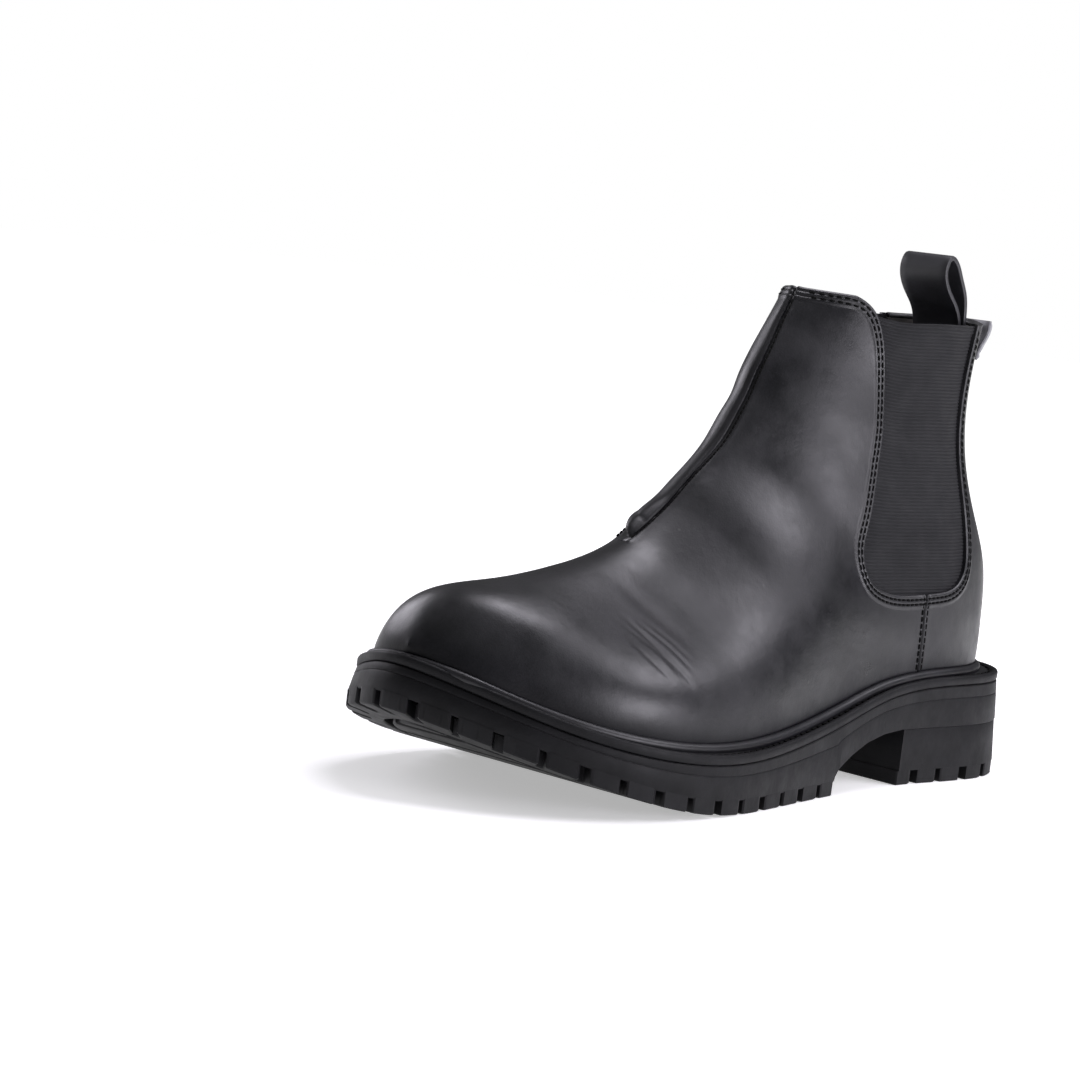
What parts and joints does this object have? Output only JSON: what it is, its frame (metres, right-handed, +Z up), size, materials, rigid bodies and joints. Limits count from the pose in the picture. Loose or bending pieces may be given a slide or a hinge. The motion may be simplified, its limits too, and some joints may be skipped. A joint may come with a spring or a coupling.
{
  "type": "chelsea boot",
  "caption": "Left ankle boot with elastic side gores, rear pull loop, storm welt and lugged rubber sole with separate heel.",
  "frame": {"origin": "centre of the boot's bounding box on the ground plane, under the treads", "axes": "+Z up, toe towards -Y, outer (lateral) side of the left foot towards +X"},
  "size_m": [0.1189, 0.3101, 0.2],
  "materials": {
    "black_leather": "smooth waxed leather, semi-matt",
    "lining_leather": "soft lining leather",
    "elastic": "ribbed woven elastic",
    "stiffener_board": "pressed fibre board",
    "footbed_leather": "smooth lining leather",
    "insole_fibre": "pressed fibre board",
    "cork": "ground cork",
    "shank_steel": "spring steel strip",
    "sole_rubber": "moulded rubber, satin",
    "nail_steel": "bright steel"
  },
  "bodies": {
    "foot": {"vamp": "black_leather", "medial_quarter": "black_leather", "heel_counter": "black_leather", "collar_binding": "black_leather", "lateral_gore": "elastic", "medial_gore": "elastic", "heel_stiffener": "stiffener_board", "toe_puff": "stiffener_board", "vamp_lining": "lining_leather", "lateral_quarter_lining": "lining_leather", "medial_quarter_lining": "lining_leather", "heel_lining": "lining_leather", "footbed": "footbed_leather", "insole_board": "insole_fibre", "cork_filler": "cork", "shank": "shank_steel", "welt": "sole_rubber", "midsole": "sole_rubber", "outsole": "sole_rubber", "heel_block": "sole_rubber", "heel_nails": "nail_steel"},
    "collar_back": {"back_strip": "black_leather", "back_tab": "black_leather", "back_strip_lining": "lining_leather"},
    "pull_loop": {"pull_loop": "black_leather"}
  },
  "joints": [
    {"name": "collar_open", "type": "hinge", "parent": "foot", "child": "collar_back", "pos_m": [-0.003, 0.149, 0.086], "axis": [-1, 0, 0], "range_deg": [0, 8], "deforming": ["lateral_gore", "medial_gore"]},
    {"name": "pull_loop_swing", "type": "hinge", "parent": "collar_back", "child": "pull_loop", "pos_m": [-0.003, 0.1243, 0.164], "axis": [1, 0, 0], "range_deg": [0, 50]}
  ]
}
